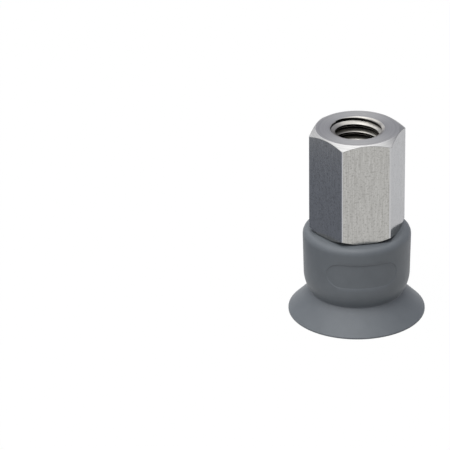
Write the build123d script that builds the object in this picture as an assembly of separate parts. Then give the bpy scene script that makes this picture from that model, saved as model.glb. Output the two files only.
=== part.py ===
from build123d import *
from math import radians, tan
import os

# Flat suction cup with a pressed-in connection nipple, in millimetres.
# The origin is the centre of the sealing lip's edge, which lies in the plane Z = 0.
# +Z runs up the axis to the threaded end. One flat of the hexagon faces -Y.

# Sealing lip of the cup
LIP_D = 13.0             # outside diameter
LIP_EDGE = 0.15          # height of the outer edge
LIP_LAND = 0.15          # width of the flat ring that touches the workpiece
CREASE_D = 8.84          # diameter where the lip meets the collar
CREASE_Z = 2.25
CREASE_FILLET = 0.2

# Collar of the cup
COLLAR_D = 10.26         # widest, just under the shoulder
COLLAR_LOW_D = 10.08     # where the rounded lower end becomes upright
COLLAR_LOW_Z = 4.2
SHOULDER_R = 0.65
SEAT_Z = 8.63            # top face of the collar, on which the hexagon sits

# Blank recessed panel on the collar
PANEL_LENGTH = 6.7
PANEL_HEIGHT = 2.5
PANEL_DEPTH = 0.12
PANEL_Z = 5.75
PANEL_TURN = -6          # degrees round the axis from -Y

# Suction side of the cup
CEILING_Z = 1.55         # floor of the grooves between the cleats
CEILING_RIM = 0.1        # flat ring outside the cleats' feet
CLEAT_COUNT = 6
CLEAT_D = 6.7
CLEAT_HEIGHT = 0.35
CLEAT_DRAFT = 0.1        # how much further out a cleat's foot stands
GROOVE_IN = 0.7          # groove width at the bore
GROOVE_OUT = 1.2         # groove width at the cleats' outer edge
BORE_D = 4.2
BORE_ROUND = 0.15

# Hexagon of the nipple
HEX_AF = 8.0
HEX_HEIGHT = 10.22
TOP_FACE_D = 7.76        # flat ring left by the upper chamfer
TOP_CHAMFER = 32         # degrees from the face
FOOT_D = 8.2             # flat ring left by the lower chamfer
FOOT_CHAMFER = 35

# Threaded hole M5 and the passage under it
THREAD_DEPTH = 8.0
TAP_DRILL_D = 4.2
TAP_RUNOUT = 0.8         # drilled depth below the full thread
DRILL_POINT = 31         # degrees from the face
COUNTERSINK_D = 5.15
COUNTERSINK = 30         # degrees from the face
PASSAGE_D = 2.4
SOCKET_AF = 2.5          # hexagon key socket in the lower end
SOCKET_DEPTH = 3.5

# Stem of the nipple inside the collar
STEM_END_Z = 2.2
NOSE_D = 3.66
NOSE_LENGTH = 0.8
BARB_D = 6.2
BARB_CONE = 1.6
BARB_LAND = 0.4
NECK_D = 4.8
STEM_CLEARANCE = 0.02    # between the stem and the rubber, all round

TOP_Z = SEAT_Z + HEX_HEIGHT
NOSE_TOP_Z = STEM_END_Z + NOSE_LENGTH
BARB_Z = NOSE_TOP_Z + BARB_CONE
BARB_TOP_Z = BARB_Z + BARB_LAND
CLEAT_Z = CEILING_Z - CLEAT_HEIGHT
CLEAT_FOOT_R = CLEAT_D / 2 + CLEAT_DRAFT
CEILING_R = CLEAT_FOOT_R + CEILING_RIM


def drop(run, angle):
    """Height that a face at this angle from the horizontal gains over a run."""
    return run * tan(radians(angle))


def cavity_corners():
    """The stem's outline moved out by the clearance, from the seat down to the bore."""
    neck_r = NECK_D / 2 + STEM_CLEARANCE
    barb_r = BARB_D / 2 + STEM_CLEARANCE
    cone_slope = BARB_CONE / (BARB_D / 2 - NOSE_D / 2)
    bore_top_z = BARB_Z - STEM_CLEARANCE - (barb_r - BORE_D / 2) * cone_slope
    return [
        (neck_r, SEAT_Z),
        (neck_r, BARB_TOP_Z + STEM_CLEARANCE),
        (barb_r, BARB_TOP_Z + STEM_CLEARANCE),
        (barb_r, BARB_Z - STEM_CLEARANCE),
        (BORE_D / 2, bore_top_z),
    ]


def cup_section():
    """Half section of the cup: lip, collar, cavity for the stem, bore and cleat ring."""
    lip_r = LIP_D / 2
    crease = (CREASE_D / 2, CREASE_Z)
    collar_low = (COLLAR_LOW_D / 2, COLLAR_LOW_Z)
    shoulder_low = (COLLAR_D / 2, SEAT_Z - SHOULDER_R)
    shoulder_top = (COLLAR_D / 2 - SHOULDER_R, SEAT_Z)
    bore_edge = (BORE_D / 2, CLEAT_Z + BORE_ROUND)
    cleat_edge = (BORE_D / 2 + BORE_ROUND, CLEAT_Z)
    with BuildSketch(Plane.XZ) as section:
        with BuildLine():
            Polyline((lip_r - LIP_LAND, 0), (lip_r, 0), (lip_r, LIP_EDGE), crease)
            TangentArc(collar_low, crease, tangent=(0, -1))
            Line(collar_low, shoulder_low)
            RadiusArc(shoulder_low, shoulder_top, -SHOULDER_R)
            Polyline(shoulder_top, *cavity_corners(), bore_edge)
            RadiusArc(bore_edge, cleat_edge, -BORE_ROUND)
            Polyline(
                cleat_edge,
                (CLEAT_D / 2, CLEAT_Z),
                (CLEAT_FOOT_R, CEILING_Z),
                (CEILING_R, CEILING_Z),
                (lip_r - LIP_LAND, 0),
            )
        make_face()
        corner = section.vertices().sort_by_distance((CREASE_D / 2, 0, CREASE_Z))[0]
        fillet(corner, CREASE_FILLET)
    return section.sketch


def cleat_groove():
    """One tapered groove of the cleat ring, open to the bore and to the lip."""
    inner_r = BORE_D / 2
    outer_r = CLEAT_D / 2
    widening = (GROOVE_OUT - GROOVE_IN) / (outer_r - inner_r) / 2
    start_r = inner_r - GROOVE_IN
    end_r = CEILING_R
    start_half = GROOVE_IN / 2 - (inner_r - start_r) * widening
    end_half = GROOVE_OUT / 2 + (end_r - outer_r) * widening
    with BuildPart() as groove:
        with BuildSketch(Plane.XY.offset(CEILING_Z)):
            Polygon(
                (start_r, -start_half), (end_r, -end_half), (end_r, end_half), (start_r, start_half), align=None
            )
            Circle(CLEAT_FOOT_R, mode=Mode.INTERSECT)
        extrude(amount=-CEILING_Z)
    return groove.part


def panel_cutter():
    """Oblong prism outside the panel's floor, which is a cylinder round the axis."""
    floor_r = COLLAR_D / 2 - PANEL_DEPTH
    with BuildPart() as cutter:
        with BuildSketch(Plane.XZ):
            with Locations((0, PANEL_Z)):
                SlotOverall(PANEL_LENGTH, PANEL_HEIGHT)
        extrude(amount=COLLAR_D)
        Cylinder(floor_r, SEAT_Z, align=(Align.CENTER, Align.CENTER, Align.MIN), mode=Mode.SUBTRACT)
    return Rot(0, 0, PANEL_TURN) * cutter.part


def vacuum_cup():
    """The moulded rubber cup."""
    body = revolve(cup_section(), Axis.Z)
    grooves = PolarLocations(0, CLEAT_COUNT) * cleat_groove()
    return body - grooves - panel_cutter()


def hexagon():
    """The chamfered hexagon from the collar's top face to the threaded end."""
    clear_r = HEX_AF
    foot_r = FOOT_D / 2
    face_r = TOP_FACE_D / 2
    with BuildPart() as blank:
        with BuildSketch(Plane.XY.offset(SEAT_Z)):
            RegularPolygon(HEX_AF / 2, 6, major_radius=False)
        extrude(amount=HEX_HEIGHT)
        with BuildSketch(Plane.XZ):
            Polygon(
                (0, SEAT_Z),
                (foot_r, SEAT_Z),
                (clear_r, SEAT_Z + drop(clear_r - foot_r, FOOT_CHAMFER)),
                (clear_r, TOP_Z - drop(clear_r - face_r, TOP_CHAMFER)),
                (face_r, TOP_Z),
                (0, TOP_Z),
                align=None,
            )
        revolve(axis=Axis.Z, mode=Mode.INTERSECT)
    return blank.part


def stem():
    """The barbed stem that holds the nipple in the rubber."""
    with BuildPart() as turned:
        with BuildSketch(Plane.XZ):
            Polygon(
                (0, STEM_END_Z),
                (NOSE_D / 2, STEM_END_Z),
                (NOSE_D / 2, NOSE_TOP_Z),
                (BARB_D / 2, BARB_Z),
                (BARB_D / 2, BARB_TOP_Z),
                (NECK_D / 2, BARB_TOP_Z),
                (NECK_D / 2, SEAT_Z),
                (0, SEAT_Z),
                align=None,
            )
        revolve(axis=Axis.Z)
    return turned.part


def passage():
    """Everything bored out of the nipple: countersink, tapping hole, air passage, key socket."""
    tap_r = TAP_DRILL_D / 2
    sink_r = COUNTERSINK_D / 2
    drill_z = TOP_Z - THREAD_DEPTH - TAP_RUNOUT
    with BuildPart() as bored:
        with BuildSketch(Plane.XZ):
            Polygon(
                (0, STEM_END_Z),
                (PASSAGE_D / 2, STEM_END_Z),
                (PASSAGE_D / 2, drill_z - drop(tap_r - PASSAGE_D / 2, DRILL_POINT)),
                (tap_r, drill_z),
                (tap_r, TOP_Z - drop(sink_r - tap_r, COUNTERSINK)),
                (sink_r, TOP_Z),
                (0, TOP_Z),
                align=None,
            )
        revolve(axis=Axis.Z)
        with BuildSketch(Plane.XY.offset(STEM_END_Z)):
            RegularPolygon(SOCKET_AF / 2, 6, major_radius=False)
        extrude(amount=SOCKET_DEPTH)
    return bored.part


def threaded_nipple():
    """The turned metal connection nipple."""
    return hexagon() + stem() - passage()


os.makedirs("parts", exist_ok=True)
for name, make in (("vacuum_cup", vacuum_cup), ("threaded_nipple", threaded_nipple)):
    export_step(make(), f"parts/{name}.step")
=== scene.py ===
from math import asin, atan2, cos, hypot, pi, radians, sin, tan

import bmesh
import bpy
from mathutils import Matrix, Vector


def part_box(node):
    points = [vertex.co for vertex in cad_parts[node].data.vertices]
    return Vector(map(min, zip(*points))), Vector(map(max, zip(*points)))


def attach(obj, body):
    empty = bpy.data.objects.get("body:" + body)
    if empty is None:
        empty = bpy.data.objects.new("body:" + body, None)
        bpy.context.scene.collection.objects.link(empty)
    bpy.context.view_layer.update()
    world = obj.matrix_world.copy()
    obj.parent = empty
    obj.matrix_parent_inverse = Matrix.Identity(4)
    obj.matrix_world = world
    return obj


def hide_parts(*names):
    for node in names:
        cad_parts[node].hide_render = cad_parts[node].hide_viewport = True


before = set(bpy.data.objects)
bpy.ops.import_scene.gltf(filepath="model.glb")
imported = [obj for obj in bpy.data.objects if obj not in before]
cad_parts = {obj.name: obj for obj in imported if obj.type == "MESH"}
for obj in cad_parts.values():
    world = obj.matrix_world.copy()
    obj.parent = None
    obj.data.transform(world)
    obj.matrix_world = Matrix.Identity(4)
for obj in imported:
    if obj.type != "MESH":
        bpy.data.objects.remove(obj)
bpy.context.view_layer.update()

# The cup is one piece of grey nitrile rubber, moulded in a two-part tool and pushed over the
# nipple's stem. It has a thin flared lip, six cleats round the suction bore and a thick collar.
# Its sizes are in millimetres.
MM = 0.001
LIP_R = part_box("vacuum_cup")[1][0] / MM
SEAT_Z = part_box("vacuum_cup")[1][2] / MM
LIP_LAND = 0.15
LIP_EDGE = 0.15
CREASE_R = 4.42
CREASE_Z = 2.25
COLLAR_LOW_R = 5.04
COLLAR_LOW_Z = 4.2
COLLAR_R = 5.13
SHOULDER = 0.65
CEILING_Z = 1.55
CLEAT_Z = 1.2
CLEATS = 6
CLEAT_R = 3.35
CLEAT_FOOT_R = 3.45
BORE_R = 2.1
GROOVE_IN = 0.7
GROOVE_OUT = 1.2
NECK_R = 2.42
BARB_R = 3.12
BARB_LOW_Z = 4.58
BARB_TOP_Z = 5.02
CONE_LOW_Z = 3.29


def rounded(corners, steps=5):
    """Points along an outline of (r, z, radius) corners, each rounded by an arc of its radius.

    An arc takes less than half of a run, and one more point on each side of it keeps the run flat."""
    points = []
    count = len(corners)
    for i, (r, z, radius) in enumerate(corners):
        here = Vector((r, z))
        back = Vector(corners[i - 1][:2]) - here
        ahead = Vector(corners[(i + 1) % count][:2]) - here
        if radius == 0 or back.length < 1e-6 or ahead.length < 1e-6:
            points.extend([here.copy() for _ in range(steps + 3 if radius else 1)])
            continue
        half = back.angle(ahead) / 2
        reach = min(radius / tan(half), 0.45 * back.length, 0.45 * ahead.length)
        size = reach * tan(half)
        centre = here + (back.normalized() + ahead.normalized()).normalized() * size / sin(half)
        start = here + back.normalized() * reach - centre
        end = here + ahead.normalized() * reach - centre
        points.append(here + back.normalized() * min(reach * 1.5, 0.48 * back.length))
        for step in range(steps + 1):
            turned = start.lerp(end, step / steps)
            points.append(centre + turned.normalized() * size)
        points.append(here + ahead.normalized() * min(reach * 1.5, 0.48 * ahead.length))
    return points


def spread(points, longest):
    """The same outline with its long runs divided."""
    out = []
    for i, point in enumerate(points):
        ahead = points[(i + 1) % len(points)]
        parts = max(1, round((ahead - point).length / longest))
        out.extend(point.lerp(ahead, part / parts) for part in range(parts))
    return out


def skin(name, columns, finish=lambda column, row: 0):
    """A closed mesh piece from columns of (x, y, z) millimetre points, the last column on the first."""
    rows = len(columns[0])
    mesh = bpy.data.meshes.new(name)
    verts = [Vector(point) * MM for column in columns for point in column]
    faces = []
    for i in range(len(columns) - 1):
        for j in range(rows):
            k = (j + 1) % rows
            faces.append((i * rows + j, i * rows + k, (i + 1) * rows + k, (i + 1) * rows + j))
    mesh.from_pydata(verts, [], faces)
    for face in mesh.polygons:
        face.material_index = finish(*divmod(face.index, rows))
        face.use_smooth = True
    work = bmesh.new()
    work.from_mesh(mesh)
    bmesh.ops.remove_doubles(work, verts=work.verts, dist=0.0008 * MM)
    bmesh.ops.dissolve_degenerate(work, edges=work.edges, dist=0.0004 * MM)
    bmesh.ops.recalc_face_normals(work, faces=work.faces)
    work.to_mesh(mesh)
    work.free()
    piece = bpy.data.objects.new(name, mesh)
    bpy.context.scene.collection.objects.link(piece)
    even = piece.modifiers.new("even shading", "WEIGHTED_NORMAL")
    even.weight = 80
    return piece


def belly(count):
    """The collar's rounded lower end, an arc that leaves the crease and becomes upright."""
    rise = COLLAR_LOW_Z - CREASE_Z
    run = COLLAR_LOW_R - CREASE_R
    radius = (rise ** 2 + run ** 2) / (2 * run)
    sweep = asin(rise / radius)
    centre_r = COLLAR_LOW_R - radius
    angles = [sweep * (1 - (i + 1) / count) for i in range(count)]
    return [(centre_r + radius * cos(a), COLLAR_LOW_Z - radius * sin(a), 0) for a in angles]


cup_corners = [
    (BORE_R, CONE_LOW_Z, 0.05),
    (BORE_R, CLEAT_Z, 0.18),
    (CLEAT_R, CLEAT_Z, 0.09),
    (CLEAT_FOOT_R, CEILING_Z, 0.06),
    (CLEAT_FOOT_R + 0.1, CEILING_Z, 0.1),
    (LIP_R - LIP_LAND, 0, 0.04),
    (LIP_R, 0, 0.04),
    (LIP_R, LIP_EDGE, 0.05),
    (CREASE_R, CREASE_Z, 0.25),
    *belly(10),
    (COLLAR_R, SEAT_Z, SHOULDER),
    (NECK_R, SEAT_Z, 0),
    (NECK_R, BARB_TOP_Z, 0),
    (BARB_R, BARB_TOP_Z, 0),
    (BARB_R, BARB_LOW_Z, 0),
]
cup_outline = spread(rounded(cup_corners, 5), 0.3)

# Each cleat is a block with nearly parallel sides. The mesh's columns gather along its edges, and
# the ring between two cleats is pushed up to the ceiling, which makes the groove.
CUP_COLUMNS = 72
CLEAT_EDGE = 0.05
CLEAT_SHARE = 0.40
WALL_SHARE = 0.20
GATHER_REACH = 0.6


def groove_half(r):
    """Half the groove's width at this radius."""
    share = (r - BORE_R) / (CLEAT_R - BORE_R)
    return (GROOVE_IN + (GROOVE_OUT - GROOVE_IN) * share) / 2


def cup_column(index):
    """One column of the cup, with the grooves between the cleats."""
    sector = 2 * pi / CLEATS
    place = index / CUP_COLUMNS
    middle = round(place) * sector
    offset = (place - round(place)) * 2
    column = []
    for point in cup_outline:
        r, z = point
        angle = middle + offset * sector / 2
        if z < CEILING_Z + GATHER_REACH and r < CLEAT_FOOT_R + GATHER_REACH:
            groove = asin(min(groove_half(max(r, BORE_R)) / max(r, BORE_R), 0.99))
            edge = sector / 2 - groove
            slack = CLEAT_EDGE / r
            wall_end = CLEAT_SHARE + WALL_SHARE
            stops = ((0, 0), (CLEAT_SHARE, edge - slack), (wall_end, edge + slack), (1, sector / 2))
            size = abs(offset)
            for (t0, a0), (t1, a1) in zip(stops, stops[1:]):
                if t0 <= size <= t1:
                    followed = a0 + (a1 - a0) * (size - t0) / (t1 - t0)
            follow = 1 - min(max(max(r - CLEAT_FOOT_R, z - CEILING_Z) / GATHER_REACH, 0), 1)
            turn = followed if offset >= 0 else -followed
            angle += (middle + turn - angle) * follow
            if z < CEILING_Z and r < CLEAT_FOOT_R + 0.01:
                sunk = min(max((size - CLEAT_SHARE) / WALL_SHARE, 0), 1)
                sunk = sunk * sunk * (3 - 2 * sunk)
                z += (CEILING_Z - z) * sunk
        column.append((r * sin(angle), -r * cos(angle), z))
    return column


cup = skin("vacuum_cup_rubber", [cup_column(i) for i in range(CLEATS * CUP_COLUMNS + 1)])

# A blank oblong panel is sunk into the front of the collar. The mesh is made finer round its edge.
PANEL_LENGTH = 6.7
PANEL_HEIGHT = 2.5
PANEL_DEPTH = 0.12
PANEL_EDGE = 0.08
PANEL_Z = 5.75
PANEL_TURN = radians(-6)
PANEL_MARGIN = 0.1


def panel_inside(point):
    """How far a point on the collar lies inside the panel's outline, negative outside it."""
    x, y, z = point / MM
    turn = atan2(x, -y) - PANEL_TURN
    if abs(turn) > 1.2 or hypot(x, y) < COLLAR_R - 2 * PANEL_DEPTH:
        return -1
    along = max(abs(hypot(x, y) * sin(turn)) - (PANEL_LENGTH - PANEL_HEIGHT) / 2, 0)
    return PANEL_HEIGHT / 2 - hypot(along, z - PANEL_Z)


def near_panel(edge):
    """Whether an edge of the collar lies within the oblong's bounds."""
    middle = (edge.verts[0].co + edge.verts[1].co) / 2 / MM
    across = hypot(middle.x, middle.y) * sin(atan2(middle.x, -middle.y) - PANEL_TURN)
    outside = hypot(middle.x, middle.y) > COLLAR_R - PANEL_DEPTH and middle.y < 0
    beside = abs(across) < PANEL_LENGTH / 2 + PANEL_MARGIN
    return outside and beside and abs(middle.z - PANEL_Z) < PANEL_HEIGHT / 2 + PANEL_MARGIN


def upright(edge):
    """Whether an edge runs up the collar and not round it."""
    run = edge.verts[0].co - edge.verts[1].co
    return abs(run.z) > Vector(run.xy).length


work = bmesh.new()
work.from_mesh(cup.data)
bmesh.ops.subdivide_edges(work, edges=[e for e in work.edges if near_panel(e) and upright(e)], cuts=7)
bmesh.ops.subdivide_edges(work, edges=[e for e in work.edges if near_panel(e) and not upright(e)], cuts=1)
for vert in work.verts:
    share = min(max(panel_inside(vert.co) / PANEL_EDGE, 0), 1)
    reach = Vector(vert.co.xy).length
    floor_r = (COLLAR_R - PANEL_DEPTH) * MM
    if share > 0 and reach > floor_r:
        vert.co.xy *= 1 + (floor_r / reach - 1) * share * share * (3 - 2 * share)
work.to_mesh(cup.data)
work.free()
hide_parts("vacuum_cup")
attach(cup, "root")


def linear(code):
    """An sRGB hex colour as Blender's linear colour."""
    parts = [int(code[i:i + 2], 16) / 255 for i in (1, 3, 5)]
    return tuple(c / 12.92 if c < 0.04045 else ((c + 0.055) / 1.055) ** 2.4 for c in parts) + (1,)


def add(tree, kind, inputs={}, **settings):
    """Adds a shader node: each input is a value, or another node's output socket."""
    node = tree.nodes.new("ShaderNode" + kind)
    for name, value in settings.items():
        setattr(node, name, value)
    for name, value in inputs.items():
        if isinstance(value, bpy.types.NodeSocket):
            tree.links.new(value, node.inputs[name])
        else:
            node.inputs[name].default_value = value
    return node


# Moulded nitrile rubber, dark slate grey. The spark-eroded tool gives it a satin skin with soft,
# wide highlights, and the compound is faintly mottled. The tool's real grain, about 0.03 mm, is too
# fine to show, so it is drawn coarser.
MOTTLE = 1.3
TOOL_TEXTURE = 0.11
rubber = bpy.data.materials.new("moulded_nitrile_rubber")
rubber.use_nodes = True
tree = rubber.node_tree
shader = tree.nodes["Principled BSDF"]
place = add(tree, "TexCoord").outputs["Object"]
mottle = add(tree, "TexNoise", {"Vector": place, "Scale": 1 / (MOTTLE * MM), "Detail": 4})
grain = add(tree, "TexNoise", {"Vector": place, "Scale": 1 / (TOOL_TEXTURE * MM), "Detail": 2})
colour = add(tree, "Mix", {"Factor": mottle.outputs["Fac"], "A": linear("#61666A"), "B": linear("#6C7175")},
             data_type="RGBA")
dull = add(tree, "MapRange", {"Value": grain.outputs["Fac"], "To Min": 0.42, "To Max": 0.54})
bump = add(tree, "Bump", {"Height": grain.outputs["Fac"], "Distance": 0.006 * MM, "Strength": 0.5})
tree.links.new(colour.outputs["Result"], shader.inputs["Base Color"])
tree.links.new(dull.outputs["Result"], shader.inputs["Roughness"])
tree.links.new(bump.outputs["Normal"], shader.inputs["Normal"])
shader.inputs["IOR"].default_value = 1.5
cup.data.materials.append(rubber)

# The nipple is turned from drawn hexagon bar of aluminium. The flats keep the drawing marks, both
# ends are chamfered on a lathe, the M5 thread is tapped from above and a key socket is pressed in
# from below. Its barbed stem holds it in the cup, and the hexagon stands on the collar.
HEX_FLAT_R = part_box("threaded_nipple")[1][1] / MM
TOP_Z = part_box("threaded_nipple")[1][2] / MM
STEM_END_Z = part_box("threaded_nipple")[0][2] / MM
HEX_EDGE = 0.13
TOP_FACE_R = 3.88
TOP_CHAMFER = radians(32)
FOOT_R = 4.1
FOOT_GAP = 0.12
FOOT_RELIEF = 0.3
FOOT_CHAMFER = radians(35)
SINK_R = 2.575
COUNTERSINK = radians(30)
THREAD_START = radians(196)
PITCH = 0.8
MINOR_R = 2.067
MAJOR_R = 2.5
ROOT_R = 2.41
THREAD_DEPTH = 8.0
TAP_RUNOUT = 0.8
DRILL_POINT = radians(31)
PASSAGE_R = 1.2
SOCKET_R = 1.25
SOCKET_DEPTH = 3.5
NOSE_R = 1.83
NOSE_TOP_Z = 3.0
STEM_NECK_R = 2.4
STEM_BARB_R = 3.1
BARB_Z = 4.6
BARB_LAND = 0.4


def hexagon_rim(flat_r, edge):
    """Points round a hexagon with rounded corners, one flat facing -Y, ending on the first.

    The points of each side gather towards its corners, so that the side is shaded flat."""
    reach = (flat_r - edge) * tan(radians(30))
    centre_r = (flat_r - edge) / cos(radians(30))
    points = []
    for side in range(6):
        spin = Matrix.Rotation(radians(60 * side), 2)
        run = [-reach + 2 * reach * t for t in (0, 0.015, 0.04, *[k / 22 for k in range(2, 21)], 0.96, 0.985)]
        points.extend(spin @ Vector((x, -flat_r)) for x in run)
        for step in range(6):
            angle = radians(-90 + 60 * step / 6)
            corner = Vector((centre_r * sin(radians(30)), -centre_r * cos(radians(30))))
            points.append(spin @ (corner + edge * Vector((cos(angle), sin(angle)))))
    return points + points[:1]


# A metric thread's outline over one pitch: a flat crest, 60 degree flanks and a rounded root.
THREAD_OUTLINE = (
    (0, 0), (0.095, 0), (0.125, 0.02), (0.15, 0.08), (0.28, 0.49), (0.385, 0.85), (0.41, 0.93), (0.45, 0.99),
    (0.5, 1), (0.55, 0.99), (0.59, 0.93), (0.72, 0.49), (0.85, 0.08), (0.875, 0.02), (0.905, 0),
)
THREAD_LOW_Z = TOP_Z - THREAD_DEPTH
TURNS = round(THREAD_DEPTH / PITCH)


def thread_rows(turned):
    """(r, z) up the tapped hole at a column that lies this share of a turn round the axis."""
    rows = []
    for turn in range(-1, TURNS + 2):
        for share, depth in THREAD_OUTLINE:
            z = THREAD_LOW_Z + PITCH * (turn + share - 0.5 + turned)
            z = min(max(z, THREAD_LOW_Z), TOP_Z - 0.01)
            runout = min((z - THREAD_LOW_Z) / PITCH, 1)
            cut = MINOR_R + (MAJOR_R - MINOR_R) * depth * runout
            sink = SINK_R - (TOP_Z - z) / tan(COUNTERSINK)
            rows.append(Vector((max(cut, sink), z)))
    return rows


def nipple_column(rim_point, turned):
    """One column of the nipple, with the counts of its rows outside and in the thread.

    It runs up the flat, over the face, down the thread, out of the socket and up the stem."""
    side_r = rim_point.length
    chamfer_z = TOP_Z - (side_r - TOP_FACE_R) * tan(TOP_CHAMFER)
    foot_r = min(side_r, FOOT_R)
    foot_z = SEAT_Z + (side_r - foot_r) * tan(FOOT_CHAMFER)
    socket_r = SOCKET_R * side_r / HEX_FLAT_R
    outer = [
        (foot_r - FOOT_RELIEF, SEAT_Z, 0),
        (foot_r - FOOT_RELIEF, SEAT_Z + FOOT_GAP, 0),
        (foot_r - 0.01, SEAT_Z + FOOT_GAP, 0),
        (side_r, foot_z + FOOT_GAP, 0.02),
        (side_r, chamfer_z, 0.05),
        (TOP_FACE_R, TOP_Z, 0.06),
        (SINK_R, TOP_Z, 0.03),
        (SINK_R - 0.02, TOP_Z - 0.01, 0),
    ]
    outer = rounded(outer, 4)[:-1]
    thread = thread_rows(turned)[::-1]
    inner = [
        (MINOR_R, THREAD_LOW_Z - TAP_RUNOUT, 0),
        (PASSAGE_R, THREAD_LOW_Z - TAP_RUNOUT - (MINOR_R - PASSAGE_R) * tan(DRILL_POINT), 0),
        (PASSAGE_R, STEM_END_Z + SOCKET_DEPTH, 0),
        (socket_r, STEM_END_Z + SOCKET_DEPTH, 0),
        (socket_r, STEM_END_Z, 0.05),
        (NOSE_R, STEM_END_Z, 0.08),
        (NOSE_R, NOSE_TOP_Z, 0),
        (STEM_BARB_R, BARB_Z, 0.03),
        (STEM_BARB_R, BARB_Z + BARB_LAND, 0.03),
        (STEM_NECK_R, BARB_Z + BARB_LAND, 0),
        (STEM_NECK_R, SEAT_Z, 0),
    ]
    inner = rounded(inner, 3)
    outline = outer + thread + inner
    across = rim_point.normalized()
    return [(across.x * p[0], across.y * p[0], p[1]) for p in outline], len(outer), len(thread)


rim = hexagon_rim(HEX_FLAT_R, HEX_EDGE)
SIDE_COLUMNS = len(rim) // 6
CORNER_COLUMNS = 7
FLAT_ROWS = 11
first = atan2(rim[0].y, rim[0].x)
columns = []
for number, point in enumerate(rim):
    turned = ((atan2(point.y, point.x) - first) / (2 * pi)) % 1
    if number == len(rim) - 1:
        turned = 1
    turned += (first - THREAD_START) / (2 * pi)
    column, outer_rows, threaded_rows = nipple_column(point, turned)
    columns.append(column)


def nipple_finish(column, row):
    """Drawn flats are 0, turned parts 1, tapped flanks 2, roots and crest lands in painted shade 3, the faced
    ring 4, burnished corners with a painted highlight 5.
    """
    if row < FLAT_ROWS:
        # Columns next to a corner take the paler corner metal: burnish together with a painted highlight.
        return 5 if column % SIDE_COLUMNS >= SIDE_COLUMNS - CORNER_COLUMNS else 0
    ahead = (row + 1) % len(columns[0])
    middle = (Vector(columns[column][row]) + Vector(columns[column][ahead])) / 2
    if not outer_rows <= row < outer_rows + threaded_rows:
        return 4 if middle.z > TOP_Z - 0.005 else 1
    reach = Vector(middle.xy).length
    in_sink = reach < SINK_R + 0.015 - (TOP_Z - middle.z) / tan(COUNTERSINK)
    # Roots and crest lands take the near-black metal, which is painted shade.
    return 2 if in_sink or MINOR_R + 0.004 < reach < ROOT_R else 3


nipple = skin("threaded_nipple_metal", columns, nipple_finish)
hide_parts("threaded_nipple")
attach(nipple, "root")

# Drawn aluminium bar, left as it comes from the die: a dull sheen with fine marks along the bar and
# shallow pits, which break up what it mirrors into streaks. Seen at a slant it is smoother.
STREAK = 0.09
STREAK_LENGTH = 1.4
PIT = 0.2
drawn = bpy.data.materials.new("drawn_aluminium_flats")
drawn.use_nodes = True
tree = drawn.node_tree
shader = tree.nodes["Principled BSDF"]
place = add(tree, "TexCoord").outputs["Object"]
stretched = add(tree, "Mapping", {"Vector": place, "Scale": (1, 1, STREAK / STREAK_LENGTH)})
streaks = add(tree, "TexNoise", {"Vector": stretched.outputs["Vector"], "Scale": 1 / (STREAK * MM),
                                 "Detail": 3})
pits = add(tree, "TexNoise", {"Vector": place, "Scale": 1 / (PIT * MM), "Detail": 1})
pitted = add(tree, "MapRange", {"Value": pits.outputs["Fac"], "From Min": 0.50, "From Max": 0.80})
streaked = add(tree, "Mix", {"Factor": streaks.outputs["Fac"], "A": linear("#9A9995"),
                             "B": linear("#C7C6C3")}, data_type="RGBA")
colour = add(tree, "Mix", {"Factor": pitted.outputs["Result"], "A": streaked.outputs["Result"],
                           "B": linear("#969591")}, data_type="RGBA")
slant = add(tree, "LayerWeight", {"Blend": 0.5})
dull = add(tree, "MapRange", {"Value": slant.outputs["Facing"], "From Min": 0.1, "From Max": 0.75,
                              "To Min": 0.26, "To Max": 0.12})
bump = add(tree, "Bump", {"Height": streaks.outputs["Fac"], "Distance": 0.004 * MM, "Strength": 0.3})
tree.links.new(colour.outputs["Result"], shader.inputs["Base Color"])
tree.links.new(dull.outputs["Result"], shader.inputs["Roughness"])
tree.links.new(bump.outputs["Normal"], shader.inputs["Normal"])
shader.inputs["Metallic"].default_value = 1
nipple.data.materials.append(drawn)

# Lathe-turned aluminium on the chamfers and the stem: fine rings round the axis, which draw its
# highlights out across them. The real feed, about 0.05 mm, is too fine to show, so the rings are
# drawn coarser.
TURNING_FEED = 0.16
turned_metal = bpy.data.materials.new("turned_aluminium")
turned_metal.use_nodes = True
tree = turned_metal.node_tree
shader = tree.nodes["Principled BSDF"]
place = add(tree, "TexCoord").outputs["Object"]
flat = add(tree, "VectorMath", {0: place, 1: (1, 1, 0)}, operation="MULTIPLY")
radius = add(tree, "VectorMath", {0: flat.outputs["Vector"]}, operation="LENGTH")
rings = add(tree, "TexNoise", {"W": radius.outputs["Value"], "Scale": 1 / (TURNING_FEED * MM), "Detail": 2},
            noise_dimensions="1D")
colour = add(tree, "Mix", {"Factor": rings.outputs["Fac"], "A": linear("#9C9C99"), "B": linear("#AFAEAC")},
             data_type="RGBA")
bump = add(tree, "Bump", {"Height": rings.outputs["Fac"], "Distance": 0.004 * MM, "Strength": 0.4})
tree.links.new(colour.outputs["Result"], shader.inputs["Base Color"])
tree.links.new(bump.outputs["Normal"], shader.inputs["Normal"])
around = add(tree, "Tangent", direction_type="RADIAL", axis="Z")
tree.links.new(around.outputs["Tangent"], shader.inputs["Tangent"])
shader.inputs["Metallic"].default_value = 1
shader.inputs["Roughness"].default_value = 0.34
shader.inputs["Anisotropic"].default_value = 0.7
nipple.data.materials.append(turned_metal)

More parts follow.
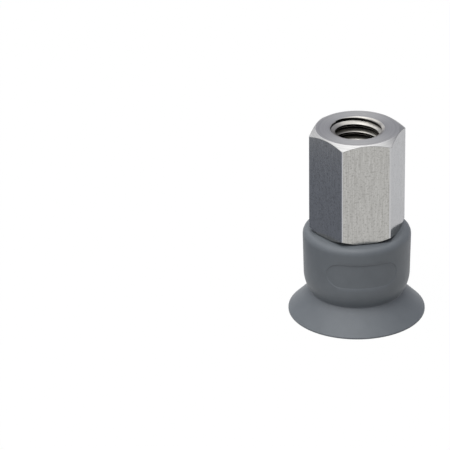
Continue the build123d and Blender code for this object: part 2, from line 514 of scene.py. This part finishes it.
# Tapped aluminium on the countersink and the thread's flanks: the tap cuts it bright and fairly
# smooth, with a little chatter that varies the gloss.
CHATTER = 0.12
tapped = bpy.data.materials.new("tapped_aluminium")
tapped.use_nodes = True
tree = tapped.node_tree
shader = tree.nodes["Principled BSDF"]
place = add(tree, "TexCoord").outputs["Object"]
chatter = add(tree, "TexNoise", {"Vector": place, "Scale": 1 / (CHATTER * MM), "Detail": 2})
colour = add(tree, "Mix", {"Factor": chatter.outputs["Fac"], "A": linear("#9D9A94"), "B": linear("#AFACA5")},
             data_type="RGBA")
dull = add(tree, "MapRange", {"Value": chatter.outputs["Fac"], "To Min": 0.26, "To Max": 0.42})
tree.links.new(colour.outputs["Result"], shader.inputs["Base Color"])
tree.links.new(dull.outputs["Result"], shader.inputs["Roughness"])
shader.inputs["Metallic"].default_value = 1
nipple.data.materials.append(tapped)

# The thread's root and the lands of its crests are painted nearly black. This is painted shade for the deep
# hollow of the root and the dark under each crest, and it draws the dark lines between the bright flanks.
thread_painted_shade = bpy.data.materials.new("thread_root_painted_shade")
thread_painted_shade.use_nodes = True
shader = thread_painted_shade.node_tree.nodes["Principled BSDF"]
shader.inputs["Base Color"].default_value = linear("#161514")
shader.inputs["Metallic"].default_value = 1
shader.inputs["Roughness"].default_value = 0.35
nipple.data.materials.append(thread_painted_shade)

# The faced ring round the hole is turned too, and paler. Its rings spread what it mirrors in and
# out from the axis, so the ring is an even grey with faint circles.
faced = turned_metal.copy()
faced.name = "faced_aluminium_end"
faced.node_tree.nodes["Mix"].inputs["A"].default_value = linear("#9C9B98")
faced.node_tree.nodes["Mix"].inputs["B"].default_value = linear("#C8C7C4")
shader = faced.node_tree.nodes["Principled BSDF"]
shader.inputs["Anisotropic"].default_value = 0.6
shader.inputs["Anisotropic Rotation"].default_value = 0.25
nipple.data.materials.append(faced)

# The bar's corners are a paler, glossier aluminium. This is partly the burnish where the die rubs hardest and
# partly a painted highlight that makes each corner a thin bright line.
corner_burnish_highlight = bpy.data.materials.new("corner_burnish_and_painted_highlight")
corner_burnish_highlight.use_nodes = True
shader = corner_burnish_highlight.node_tree.nodes["Principled BSDF"]
shader.inputs["Base Color"].default_value = linear("#BDBDBE")
shader.inputs["Metallic"].default_value = 1
shader.inputs["Roughness"].default_value = 0.2
nipple.data.materials.append(corner_burnish_highlight)

# The floor is plain white board. The camera and the metal see it as white, and it keeps a part of
# the cup's soft shadow. Under the cup it only gets the light that comes down the passage.
FLOOR_WHITE = 0.97
bpy.ops.mesh.primitive_plane_add(size=4)
floor = bpy.context.object
floor.name = "floor"
board = bpy.data.materials.new("white_board")
board.use_nodes = True
tree = board.node_tree
tree.nodes.remove(tree.nodes["Principled BSDF"])
matt = add(tree, "BsdfDiffuse", {"Color": linear("#A0A0A0")})
white = add(tree, "Emission", {"Color": (1, 1, 1, 1), "Strength": 1.02})
path = add(tree, "LightPath")
seen = add(tree, "Math", {0: path.outputs["Is Camera Ray"], 1: path.outputs["Is Glossy Ray"]},
           operation="MAXIMUM")
seen = add(tree, "Math", {0: seen.outputs[0], 1: path.outputs["Is Transmission Ray"]}, operation="MAXIMUM")
away = add(tree, "VectorMath", {0: add(tree, "TexCoord").outputs["Object"]}, operation="LENGTH")
bare = add(tree, "Math", {0: away.outputs["Value"], 1: CREASE_R * MM}, operation="GREATER_THAN")
seen = add(tree, "Math", {0: seen.outputs[0], 1: bare.outputs[0]}, operation="MULTIPLY")
share = add(tree, "Math", {0: seen.outputs[0], 1: FLOOR_WHITE}, operation="MULTIPLY")
mixed = add(tree, "MixShader", {0: share.outputs[0], 1: matt.outputs["BSDF"], 2: white.outputs["Emission"]})
tree.links.new(mixed.outputs["Shader"], tree.nodes["Material Output"].inputs["Surface"])
floor.data.materials.append(board)

# The room is an even, slightly blue grey. It is brighter where metal mirrors it than as a light, so
# the flats stay pale while the softboxes still shape the rubber.
world = bpy.data.worlds.new("room")
bpy.context.scene.world = world
world.use_nodes = True
tree = world.node_tree
path = add(tree, "LightPath")
seen = add(tree, "Math", {0: path.outputs["Is Camera Ray"], 1: path.outputs["Is Glossy Ray"]},
           operation="MAXIMUM")
seen = add(tree, "Math", {0: seen.outputs[0], 1: path.outputs["Is Transmission Ray"]}, operation="MAXIMUM")
strength = add(tree, "MapRange", {"Value": seen.outputs[0], "To Min": 0.20, "To Max": 0.57})
tree.nodes["Background"].inputs["Color"].default_value = linear("#F0F2FF")
tree.links.new(strength.outputs["Result"], tree.nodes["Background"].inputs["Strength"])


# Four softboxes: a wide one overhead, which the upper faces mirror, a key lamp above the left front,
# a weak one for the left side, and a weak one behind for the left chamfer.
def softbox(name, side, place, aim, power):
    """A square lamp with this side in metres, at place and facing aim."""
    lamp = bpy.data.lights.new(name, "AREA")
    lamp.shape = "SQUARE"
    lamp.size = side
    lamp.energy = power
    holder = bpy.data.objects.new(name, lamp)
    holder.location = place
    holder.rotation_euler = (Vector(aim) - Vector(place)).to_track_quat("-Z", "Y").to_euler()
    bpy.context.scene.collection.objects.link(holder)


softbox("ceiling_softbox", 0.60, (-0.07, -0.01, 0.31), (-0.07, -0.01, 0), 1.60)
softbox("key_softbox", 0.14, (-0.055, -0.075, 0.315), (0, 0, 0.01), 0.22)
softbox("side_softbox", 0.16, (-0.22, -0.15, 0.16), (0, 0, 0.01), 0.15)
softbox("back_softbox", 0.10, (-0.125, 0.35, 0.16), (0, 0, 0.01), 0.05)


# Two matt cards lie on the floor, as a photographer lays them to shape what polished metal mirrors:
# a grey one darkens the left flat, and a pale one keeps the right flat a little under white.
def card(name, side, place, colour):
    """A matt card on the floor that only the metal's reflections see."""
    bpy.ops.mesh.primitive_plane_add(size=side, location=(*place, 0.0002))
    sheet = bpy.context.object
    sheet.name = name
    sheet.visible_camera = False
    sheet.visible_diffuse = False
    sheet.visible_shadow = False
    paper = bpy.data.materials.new(name)
    paper.use_nodes = True
    paper.node_tree.nodes["Principled BSDF"].inputs["Base Color"].default_value = linear(colour)
    paper.node_tree.nodes["Principled BSDF"].inputs["Roughness"].default_value = 0.9
    sheet.data.materials.append(paper)


card("grey_card", 0.036, (-0.030, 0.007), "#6F747F")
card("pale_card", 0.030, (0.029, 0.020), "#DCDDE0")

# The camera stands where the photograph was taken, found from the hexagon, the rims and the outline.
PICTURE = 450
FOCAL = 3398
DISTANCE = 0.3204
AZIMUTH = radians(-12.68)
ELEVATION = radians(26.33)
ROLL = radians(0.2446)
AIM = Vector((0, 0, 0.0094))
AIM_PIXEL = Vector((356.92, 219.01))
lens = bpy.data.cameras.new("camera")
lens.sensor_width = 36
lens.lens = FOCAL / PICTURE * lens.sensor_width
lens.clip_start = 0.01
camera = bpy.data.objects.new("camera", lens)
bpy.context.scene.collection.objects.link(camera)
out = Vector((cos(ELEVATION) * sin(AZIMUTH), -cos(ELEVATION) * cos(AZIMUTH), sin(ELEVATION)))
look = (-out).to_track_quat("-Z", "Y")
level = look.to_matrix() @ Matrix.Rotation(ROLL, 3, "Z")
sight = Vector((AIM_PIXEL.x - PICTURE / 2, PICTURE / 2 - AIM_PIXEL.y, -FOCAL)).normalized()
pan = Vector((0, 0, -1)).rotation_difference(sight).to_matrix()
camera.matrix_world = Matrix.Translation(AIM + out * DISTANCE) @ (level @ pan.inverted()).to_4x4()
bpy.context.scene.camera = camera

bpy.context.scene.view_settings.view_transform = "Standard"
